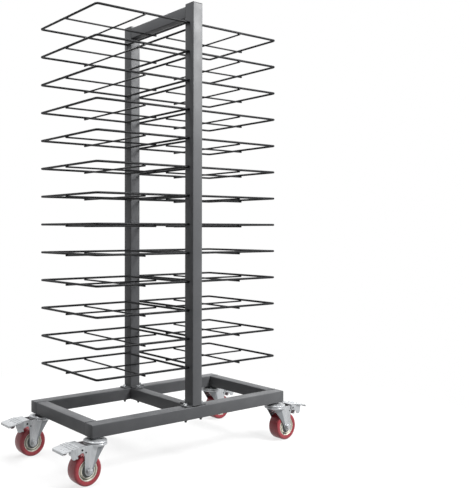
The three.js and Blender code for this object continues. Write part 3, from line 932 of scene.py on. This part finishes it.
@dataclass
class Caster:
    """A braked swivel caster, drawn with its wheel trailing to -X and the rail's underside at 0.

    The tuples of pairs are steps in from a corner of a turned profile, on the radius and
    along the axis.
    """

    row: str
    end: str
    stem_x: float = 402.0
    stud: float = 6.0
    stud_length: float = 22.0
    stud_edge: float = 1.0
    collar: float = 11.0
    collar_height: float = 4.0
    collar_sink: float = 0.5
    collar_round: Points = ((0.0, 1.9), (1.0, 0.5), (1.5, 0.0))
    race: float = 38.0
    dome: float = 5.0
    dome_foot: Point = (8.0, -1.2)
    dome_top: Points = ((-6.0, 1.6), (-2.0, 0.0))
    rim: float = 5.5
    rim_low_round: float = 2.0
    rim_high_round: float = 2.5
    race_gap: float = 0.6
    kingpin: float = 7.0
    kingpin_head: float = 11.0
    kingpin_play: float = 0.5
    kingpin_round: Points = ((2.0, 4.0), (0.4, 3.0), (0.0, 1.5), (0.0, 0.0))
    crown: float = 3.5
    crown_round: float = 2.5
    crown_fillet: float = 1.5
    lip: float = 7.0
    lip_edge: float = 0.8
    fork_sharp: float = 11.5
    leg: float = 3.0
    leg_inner: float = 24.5
    leg_inset: float = 1.0
    leg_edge: float = 0.7
    leg_edge_angle: float = 40.0
    leg_turn: float = 0.22
    crease_x: float = -4.0
    rivet_back: float = 15.0
    rivet_drop: float = 10.0
    rivet_head: Points = ((0.0, 1.0), (-2.6, 1.0), (-2.6, -0.3), (-1.8, -0.9), (0.0, -1.1))
    trail: float = 40.0
    drop: float = 94.0
    boss: float = 15.0
    wheel: float = 50.0
    tyre_width: float = 46.0
    tyre_thickness: float = 16.0
    tyre_seat: float = 0.2
    tyre_lip: Points = ((0.0, 1.6), (-1.2, 0.9))
    tyre_flat: float = 2.0
    shoulder: float = 7.0
    shoulder_end: float = 12.0
    part_line: Points = ((0.0, -0.9), (0.25, -0.5))
    core_sink: float = 1.5
    outer_ring: Points = ((0.0, 0.6), (0.6, 0.0), (2.0, 0.0), (2.6, 0.6))
    recess_depth: float = 6.0
    recess_outer: float = 3.2
    recess_inner: float = 0.6
    recess_overlap: float = 0.1
    recess_sheet: float = 0.4
    inner_ring: float = 25.4
    inner_ring_top: Points = ((0.0, 1.0), (0.8, 0.0))
    cover: float = 21.8
    cover_seat: Points = ((-0.8, 0.0), (-0.2, 0.6), (0.0, 3.0))
    cover_top: Points = ((0.2, 2.9), (0.2, 1.4), (1.0, 0.6), (4.5, 0.0))
    cover_boss: Points = ((5.5, 0.8), (6.2, 0.0))
    axle: float = 6.0
    axle_play: float = 0.45
    axle_edge: float = 1.0
    nut_across: float = 18.0
    nut_height: float = 8.0
    nut_cover: float = 0.5
    washer: float = 1.5
    washer_faces: Point = (0.1, 1.7)
    washer_share: float = 0.6
    tail: float = 3.0
    pin_reach: float = 66.0
    pin_drop: float = 25.0
    pin: float = 3.5
    pin_round: Points = ((0.0, -0.4), (1.0, -1.2))
    ear: float = 9.0
    pedal_length: float = 68.0
    pedal_tail: float = 10.0
    pedal_flat: float = 12.0
    pedal_bend: float = 3.0
    pedal_fall: float = 10.0
    pedal_lip: float = 5.0
    sheet: float = 2.5
    rise: float = 1.0
    tip_width: float = 72.0
    splay: float = 10.0
    ridges: int = 3
    ridge_pitch: float = 9.0
    ridge_height: float = 2.0
    ridge_width: float = 4.0
    flange_length: float = 42.0
    flange_edge: float = 0.5
    lobe_reach: float = 28.0
    lobe_drop: float = 15.0
    lobe: float = 11.0
    shoe_gap: float = 6.8
    shoe_angle: float = 132.5
    place: Matrix = field(init=False)
    node: str = field(init=False)
    body: str = field(init=False)

    def __post_init__(self) -> None:
        """Works out the caster's place and names."""
        x, turn = (-self.stem_x, 0.0) if self.end == "left" else (self.stem_x, math.pi)
        spot = (x, -POST_Y if self.row == "front" else POST_Y, RAIL_TOP - RAIL_HEIGHT)
        self.place = Matrix.Translation(spot) @ Matrix.Rotation(turn, 4, "Z")
        self.body = f"{self.row}_{self.end}"
        self.node = f"{self.body}_caster"

    @property
    def leg_outer(self) -> float:
        """Gives the outer face of a leg."""
        return self.leg_inner + self.leg

    @property
    def crown_top(self) -> float:
        """Gives the depth of the fork's top below the rail."""
        return self.collar_height + self.dome + self.rim + self.race_gap

    @property
    def hub_centre(self) -> Vector:
        """Gives the wheel's centre."""
        return Vector((-self.trail, 0, -self.drop))

    @property
    def pedal_top(self) -> float:
        """Gives the height of the pedal's level top."""
        return -self.pin_drop + self.ear + self.rise + self.sheet

    def build(self) -> None:
        """Makes the caster's pieces from the rail down."""
        self.stem()
        self.fork()
        self.axle_bolt()
        self.tyre()
        self.hub()
        self.pedal()

    def put(
        self, form: Form, part: str, finish: Finish, body: str, node: str = "",
        sharp: float = SHARP,
    ) -> None:
        """Sets a form in its place.

        Args:
            form: the form.
            part: the piece's own name.
            finish: its surface.
            body: rack, or the caster's fork, wheel or pedal.
            node: the node that it replaces, without the caster's name.
            sharp: least angle, in degrees, of an edge that shows.
        """
        rides = RACK if body == RACK else f"{self.body}_{body}"
        stands_for = [f"{self.node}_{node}"] if node else []
        form.piece(f"{self.node}_{part}", finish, rides, self.place, stands_for, sharp)

    def stem(self) -> None:
        """Makes the upper race with its kingpin, and the collar and stud over it."""
        bottom = self.race_gap - self.crown_top
        rivet = -self.crown_top - self.crown - self.race_gap
        head = set_in((self.kingpin_head, rivet), self.kingpin_round)
        low, high = self.rim_low_round, self.rim_high_round
        rim_top = bottom + self.rim
        race = [
            (0, head[0][1]), *head, (self.kingpin, rivet), (self.kingpin, bottom),
            *arc((self.race - low, bottom + low), low, 270, 360, Steps.FILLET),
            *arc((self.race - high, rim_top - high), high, 0, 70, Steps.FILLET),
            *set_in((self.race, rim_top), [self.dome_foot]),
            *set_in((self.collar, -self.collar_height), self.dome_top), (0, -self.collar_height),
        ]
        self.put(Form().turned(race, UP, Facets.RACE, Vector()), "race", ZINC, RACK, "stem")
        under = -self.collar_height - self.collar_sink
        stud = [(self.stud, -GAP), (self.stud, self.stud_length - self.stud_edge),
                (self.stud - self.stud_edge, self.stud_length), (0, self.stud_length)]
        collar = [(0, under), (self.collar, under),
                  *set_in((self.collar, -GAP), self.collar_round), *stud]
        self.put(Form().turned(collar, UP, Facets.COLLAR, Vector()), "collar", ZINC, RACK)

    def leg_outline(self) -> list[Point]:
        """Gives one leg's outline: slanted rear, strap, hollow over the tyre and round ear."""
        rear = math.sqrt(self.race ** 2 - self.leg_outer ** 2) - self.leg_inset
        top = -self.crown_top - self.crown / 2
        strap, back = -self.trail - self.boss, -self.trail + self.boss
        ear = -self.pin_drop - self.ear
        return [
            (rear, top),
            *curve((rear, -self.crown_top - self.lip),
                   (back + self.boss, -self.drop + 2 * self.boss), (back, -self.drop), Steps.CURVE),
            *arc((-self.trail, -self.drop), self.boss, 0, -180, Steps.BOSS)[1:],
            *curve((strap, -self.drop + self.wheel - self.tyre_thickness), (strap, ear),
                   (-self.pin_reach, ear), Steps.CURVE),
            *arc((-self.pin_reach, -self.pin_drop), self.ear, 270, 90, Steps.EAR)[1:],
            (-rear, -self.pin_drop + self.ear), (-rear, top),
        ]

    def fork(self) -> None:
        """Makes the fork's crown and straps, the legs' rear panels, and their rivets."""
        inner, hole = self.race - self.crown, self.kingpin + self.kingpin_play
        top, lip = -self.crown_top, -self.crown_top - self.lip
        under, r = top - self.crown, self.crown_round
        form = Form().turned([
            (hole, under), (inner - self.crown_fillet, under), (inner, under - self.crown_fillet),
            (inner, lip), (self.race - self.lip_edge, lip), (self.race, lip + self.lip_edge),
            *arc((self.race - r, top - r), r, 0, 90, Steps.ROUND), (hole, top), (hole, under),
        ], UP, Facets.RACE, Vector())
        panels, rivets = Form(), Form()
        spot = Vector((self.rivet_back - self.pin_reach, 0, -self.pin_drop - self.rivet_drop))
        for side in (-1, 1):
            form.take(self.leg_plate(side, False))
            panels.take(self.leg_plate(side, True))
            head = set_in((0.0, self.leg_outer), self.rivet_head)
            rivets.turned([(r, side * y) for r, y in head], ACROSS, Facets.RIVET, spot)
        self.put(form, "fork_pressing", ZINC, "fork", "fork", self.fork_sharp)
        # The rear panels take a darker zinc: painted shade.
        self.put(panels, "fork_panels", ZINC_PAINTED_SHADE, "fork")
        self.put(rivets, "leg_rivets", DARK_STEEL, "fork")

    def leg_plate(self, side: int, panel: bool) -> Form:
        """Makes one leg's strap, or the rear panel that turns inward from a crease beside it.

        Args:
            side: -1 or 1, for the leg in Y.
            panel: whether to keep the rear panel, not the strap.

        Returns:
            The plate's form.
        """
        low, high = sorted((side * self.leg_inner, side * self.leg_outer))
        form = Form().plate(self.leg_outline(), low, high)
        start = Vector((self.crease_x, 0, -self.crown_top))
        end = Vector((-self.trail + self.boss, 0, -self.drop + self.boss))
        run = (end - start).normalized()
        rearward = Vector((-run.z, 0, run.x))
        bmesh.ops.bisect_plane(
            form.bm, geom=[*form.bm.verts, *form.bm.edges, *form.bm.faces], plane_co=start,
            plane_no=rearward, clear_inner=panel, clear_outer=not panel,
        )
        rim = [edge for edge in form.bm.edges if edge.is_boundary]
        bmesh.ops.holes_fill(form.bm, edges=rim, sides=0)
        if panel:
            for vert in form.bm.verts:
                vert.co.y -= side * self.leg_turn * (vert.co - start).dot(rearward)
        return form.face_outward().soften(self.leg_edge, self.leg_edge_angle)

    def axle_bolt(self) -> None:
        """Makes the axle bolt with its head, nut and washers."""
        face, at = self.leg_outer + GAP, self.hub_centre
        height = self.nut_height - self.washer
        middle = face + self.washer + height / 2
        form = Form()
        for side in (-1, 1):
            form.hexagon(self.nut_across, height, at + ACROSS * side * middle, ACROSS)
            low, high = (side * (face + away) for away in self.washer_faces)
            washer = ring(self.axle, self.nut_across * self.washer_share, low, high)
            form.turned(washer, ACROSS, Facets.AXLE, at)
        end = face + self.nut_height
        bolt = shaft(self.axle, -end - self.tail, end - self.nut_cover, self.axle_edge)
        self.put(form.turned(bolt, ACROSS, Facets.AXLE, at), "axle_bolt", ZINC, "fork", "axle")

    def tyre(self) -> None:
        """Makes the tread, with round shoulders and a thin lip where it meets the core."""
        half, r = self.tyre_width / 2, self.shoulder
        seat = self.wheel - self.tyre_thickness + self.tyre_seat
        side = [
            *set_in((seat, half), self.tyre_lip), (self.wheel - r - self.tyre_flat, half),
            *arc((self.wheel - r, half - r), r, 90, self.shoulder_end, Steps.ROUND),
            *set_in((self.wheel, 0.0), self.part_line),
        ]
        tread = [*side, *mirrored(side), side[0]]
        self.put(Form().turned(tread, ACROSS, Facets.WHEEL, self.hub_centre),
                 "tread", TREAD, "wheel", "tyre")

    def hub(self) -> None:
        """Makes the ivory core's rings, a thin dark sheet of painted shade in the recess between
        them, and the bearing covers.
        """
        at, hole = self.hub_centre, self.axle + self.axle_play
        rim = self.wheel - self.tyre_thickness - GAP
        face = self.tyre_width / 2 - self.core_sink
        floor = face - self.recess_depth
        outer, inner = rim - self.recess_outer, self.inner_ring + self.recess_inner
        seat = set_in((self.cover, face), self.cover_seat)
        side = [
            *set_in((rim, face), self.outer_ring), (outer, floor), (inner, floor),
            *set_in((self.inner_ring, face), self.inner_ring_top), *seat, (hole, seat[-1][1]),
        ]
        other = mirrored(side)
        core = Form().turned([*other, *side, other[0]], ACROSS, Facets.WHEEL, at)
        self.put(core, "core", CORE, "wheel", "hub")
        boss, lap = self.leg_inner - GAP, self.recess_overlap
        top = set_in((self.cover, face), self.cover_top)
        cover = [(hole, top[0][1]), *top, *set_in((self.cover, boss), self.cover_boss),
                 (hole, boss), (hole, top[0][1])]
        recess, covers = Form(), Form()
        for way in (-1, 1):
            low, high = way * (floor - lap), way * (floor + self.recess_sheet)
            recess.turned(ring(outer - lap, inner - lap, low, high), ACROSS, Facets.WHEEL, at)
            covers.turned([(r, way * y) for r, y in cover], ACROSS, Facets.COVER, at)
        # The thin sheet on the recess's floor is painted shade.
        self.put(recess, "core_recess_painted_shade", RECESS_PAINTED_SHADE, "wheel")
        self.put(covers, "bearing_covers", COVER, "wheel")

    def half_width(self, x: float) -> float:
        """Gives half the pedal's width at a place along it."""
        neck = -self.pin_reach - self.pedal_flat
        narrow = self.leg_outer + GAP + self.sheet
        tip = -self.pin_reach - self.pedal_length - self.sheet
        share = min(max((neck - x) / (2 * self.splay), 0.0), 1.0)
        width = narrow + (self.tip_width / 2 - narrow) * (2 * share - share ** 2)
        return width - max(0.0, tip + self.splay / 2 - x)

    def pedal_line(self) -> list[Point]:
        """Gives the top of the pedal's sheet in side view, with its ridges and turned-down tip."""
        top, sheet = self.pedal_top, self.sheet
        flat_end = -self.pin_reach - self.pedal_flat
        tip = -self.pin_reach - self.pedal_length
        slope = self.pedal_fall / (flat_end - tip)
        line = [(self.pedal_tail - self.pin_reach, top), (flat_end + self.pedal_bend, top)]
        for i in range(1, Steps.RIDGES):
            x = flat_end + (tip - flat_end) * i / Steps.RIDGES
            z = top - (flat_end - x) * slope
            for ridge in range(1, self.ridges + 1):
                away = abs(x - (flat_end - ridge * self.ridge_pitch)) / (self.ridge_width / 2)
                if away < 1:
                    z += self.ridge_height / 2 * (1 + math.cos(math.pi * away))
            line.append((x, z))
        end = top - self.pedal_fall
        return [
            *line, (tip, end), *arc((tip, end - sheet), sheet, 110, 180, Steps.FILLET),
            (tip - sheet, end - sheet - self.pedal_lip),
        ]

    def pedal(self) -> None:
        """Makes the pedal's sheet, hinge flanges, brake shoe and pin."""
        form = Form()
        line = [Vector((x, -self.half_width(x), z)) for x, z in self.pedal_line()]
        _, edges = form.chain(line)
        grown = bmesh.ops.extrude_edge_only(form.bm, edges=edges)["geom"]
        for vert in (g for g in grown if isinstance(g, bmesh.types.BMVert)):
            vert.co.y = -vert.co.y
        form.face_outward()
        if next(iter(form.bm.faces)).normal.z < 0:
            bmesh.ops.reverse_faces(form.bm, faces=form.bm.faces[:])
        bmesh.ops.solidify(form.bm, geom=form.bm.faces[:], thickness=self.sheet)
        inner = self.leg_outer + GAP
        reach = inner + self.sheet
        for side in (-1, 1):
            low, high = sorted((side * inner, side * reach))
            flange = Form().plate(self.flange_outline(), low, high)
            form.take(flange.soften(self.flange_edge))
        half = self.tyre_width / 2
        form.take(Form().plate(self.shoe_outline(), -half, half))
        self.put(form, "pedal_pressing", ZINC, "pedal", "pedal")
        end = set_in((self.pin, reach), self.pin_round)
        end.append((0, end[-1][1]))
        at = Vector((-self.pin_reach, 0, -self.pin_drop))
        pin = Form().turned([*mirrored(end), *end], ACROSS, Facets.PIN, at)
        self.put(pin, "pedal_pin", DARK_STEEL, "pedal")

    def flange_outline(self) -> list[Point]:
        """Gives a hinge flange's outline, which hangs from the sheet round the pin."""
        x, z = -self.pin_reach, -self.pin_drop
        under = self.pedal_top - self.sheet / 2
        front = x - self.flange_length
        slope = self.pedal_fall / (self.pedal_length - self.pedal_flat)
        fall = (self.flange_length - self.pedal_flat) * slope
        lobe = (x - self.lobe_reach, z - self.lobe_drop)
        return [
            (x + self.ear, under), *arc((x, z), self.ear, 0, -100, Steps.CURVE),
            *arc(lobe, self.lobe, 0, -180, Steps.LOBE), (front, under - self.sheet - fall),
            (front, under - fall), (x - self.pedal_flat, under),
        ]

    def shoe_outline(self) -> list[Point]:
        """Gives the brake shoe's outline, from the sheet down to the tread."""
        angle, reach = math.radians(self.shoe_angle), self.wheel + self.shoe_gap
        x = -self.trail + math.cos(angle) * reach
        z = -self.drop + math.sin(angle) * reach
        s = self.sheet
        root = (-self.pin_reach - self.pedal_flat - s, self.pedal_top - s / 2)
        start = (root[0] - s, root[1] - s / 2)
        return [
            root, *curve(start, (x - 3 * s, z + 2 * s), (x - s, z), Steps.ROUND), (x, z),
            *curve((x + s, z + s), (x - s / 2, z + 3 * s), root, Steps.ROUND)[:-1],
        ]


@dataclass(frozen=True)
class Lamp:
    """A soft round lamp: its place, the point that it faces, its width and its power."""

    name: str
    at: Place
    aim: Place
    size: float
    watts: float

    def hang(self) -> None:
        """Hangs the lamp where the camera doesn't see it."""
        light = bpy.data.lights.new(self.name, "AREA")
        light.shape = "DISK"
        light.size = self.size
        light.energy = self.watts
        made = add_object(self.name, light)
        made.location = self.at
        way = Vector(self.aim) - Vector(self.at)
        made.rotation_euler = way.to_track_quat("-Z", "Y").to_euler()
        made.visible_camera = False


LAMPS = (
    Lamp("key_light", (1.35, -1.8, 2.2), (0.0, -0.2, 1.2), size=1.1, watts=125.0),
    Lamp("left_light", (-1.0, 0.1, 2.3), (0.0, 0.0, 1.4), size=0.6, watts=10.0),
    Lamp("rear_light", (0.3, 2.2, 3.6), (0.0, 0.0, 0.8), size=1.6, watts=45.0),
    Lamp("top_light", (0.0, 0.2, 4.4), (0.0, 0.0, 0.2), size=2.6, watts=200.0),
)


@dataclass
class Studio:
    """The pale floor, the soft lights and the camera."""

    floor: str = "ececec"
    bounce: str = "7a7a7a"
    white: str = "ffffff"
    floor_half: float = 30.0
    fill: float = 0.2
    shadow_share: float = 0.24
    shadow_near: float = 0.75
    shadow_far: float = 1.5
    image_width: int = 469
    image_height: int = 488
    focal_px: float = 715.6
    centre_px: Point = (110.0, 240.0)
    eye: Place = (-1.6158, -2.0475, 0.7869)
    heading: float = 34.198
    pitch: float = -0.760

    def build(self) -> None:
        """Sets the floor, the world, the lights and the camera."""
        self.ground()
        self.world()
        for lamp in LAMPS:
            lamp.hang()
        self.camera()

    def ground(self) -> None:
        """Lays the floor, white to the camera apart from the rack's soft shadow."""
        form = Form()
        bmesh.ops.create_grid(form.bm, x_segments=1, y_segments=1, size=self.floor_half)
        mesh = form.mesh("floor")
        # Matt studio floor: its shadow shows near the rack and fades to white farther out.
        made = bpy.data.materials.new("studio_floor")
        tree = clear_tree(made)
        seen = self.seen(tree)
        shown = add_node(
            tree, "ShaderNodeMix",
            {"data_type": "RGBA", MIX_A: linear(self.bounce), MIX_B: linear(self.floor)},
            {MIX_SHARE: seen},
        ).outputs[MIX_RESULT]
        matt = add_node(tree, "ShaderNodeBsdfDiffuse", {}, {"Color": shown})
        white = add_node(
            tree, "ShaderNodeEmission", {"Color": linear(self.white), "Strength": 1.0}
        )
        place = add_node(tree, "ShaderNodeTexCoord").outputs["Object"]
        away = add_node(tree, "ShaderNodeVectorMath", {"operation": "LENGTH"}, {0: place})
        plain = add_node(
            tree, "ShaderNodeMapRange",
            {"From Min": self.shadow_near, "From Max": self.shadow_far,
             "To Min": 1 - self.shadow_share},
            {"Value": away.outputs["Value"]},
        ).outputs["Result"]
        share = add_node(
            tree, "ShaderNodeMath", {"operation": "MULTIPLY"}, {0: seen, 1: plain}
        )
        mix = add_node(
            tree, "ShaderNodeMixShader", {},
            {0: share.outputs[0], 1: matt.outputs[0], 2: white.outputs[0]},
        )
        add_node(tree, "ShaderNodeOutputMaterial", {}, {"Surface": mix.outputs[0]})
        mesh.materials.append(made)
        floor = add_object("floor", mesh)

    def seen(self, tree: bpy.types.NodeTree) -> bpy.types.NodeSocket:
        """Tells the rays that show the surroundings from the rays that light the rack.

        Args:
            tree: the node tree to add to.

        Returns:
            A socket that is 1 for a camera, glossy or transmission ray and 0 for the others.
        """
        path = add_node(tree, "ShaderNodeLightPath").outputs
        clear = add_node(
            tree, "ShaderNodeMath", {"operation": "ADD"},
            {0: path["Is Camera Ray"], 1: path["Is Transmission Ray"]},
        )
        return add_node(
            tree, "ShaderNodeMath", {"operation": "ADD", "use_clamp": True},
            {0: clear.outputs[0], 1: path["Is Glossy Ray"]},
        ).outputs[0]

    def world(self) -> None:
        """Makes the surroundings soft light, and white where they are seen."""
        world = bpy.data.worlds.new("studio")
        bpy.context.scene.world = world
        tree = clear_tree(world)
        level = add_node(
            tree, "ShaderNodeMapRange", {"To Min": self.fill, "To Max": 1.0},
            {"Value": self.seen(tree)},
        )
        back = add_node(
            tree, "ShaderNodeBackground", {"Color": linear(self.white)},
            {"Strength": level.outputs["Result"]},
        )
        add_node(tree, "ShaderNodeOutputWorld", {}, {"Surface": back.outputs[0]})

    def camera(self) -> None:
        """Sets the camera at the photograph's angle."""
        lens = bpy.data.cameras.new("camera")
        long = max(self.image_width, self.image_height)
        lens.sensor_width = 36.0
        lens.lens = self.focal_px * lens.sensor_width / long
        lens.shift_x = (self.image_width / 2 - self.centre_px[0]) / long
        lens.shift_y = (self.centre_px[1] - self.image_height / 2) / long
        lens.clip_end = 100.0
        heading, pitch = math.radians(self.heading), math.radians(self.pitch)
        level = math.cos(pitch)
        way = Vector((math.sin(heading) * level, math.cos(heading) * level, math.sin(pitch)))
        made = add_object("camera", lens)
        made.location = self.eye
        made.rotation_euler = way.to_track_quat("-Z", "Y").to_euler()
        bpy.context.scene.camera = made


def main() -> None:
    """Builds the rack from its base up, then the studio."""
    logging.basicConfig(level=logging.INFO, format="%(message)s")
    bpy.context.scene.view_settings.view_transform = "Standard"
    Base().build()
    for row in ("front", "rear"):
        Post(row).build()
    top_bar()
    Shelves().build()
    for end in ("left", "right"):
        for row in ("front", "rear"):
            Caster(row, end).build()
    Studio().build()
    bpy.context.view_layer.update()


if __name__ == "__main__":
    main()
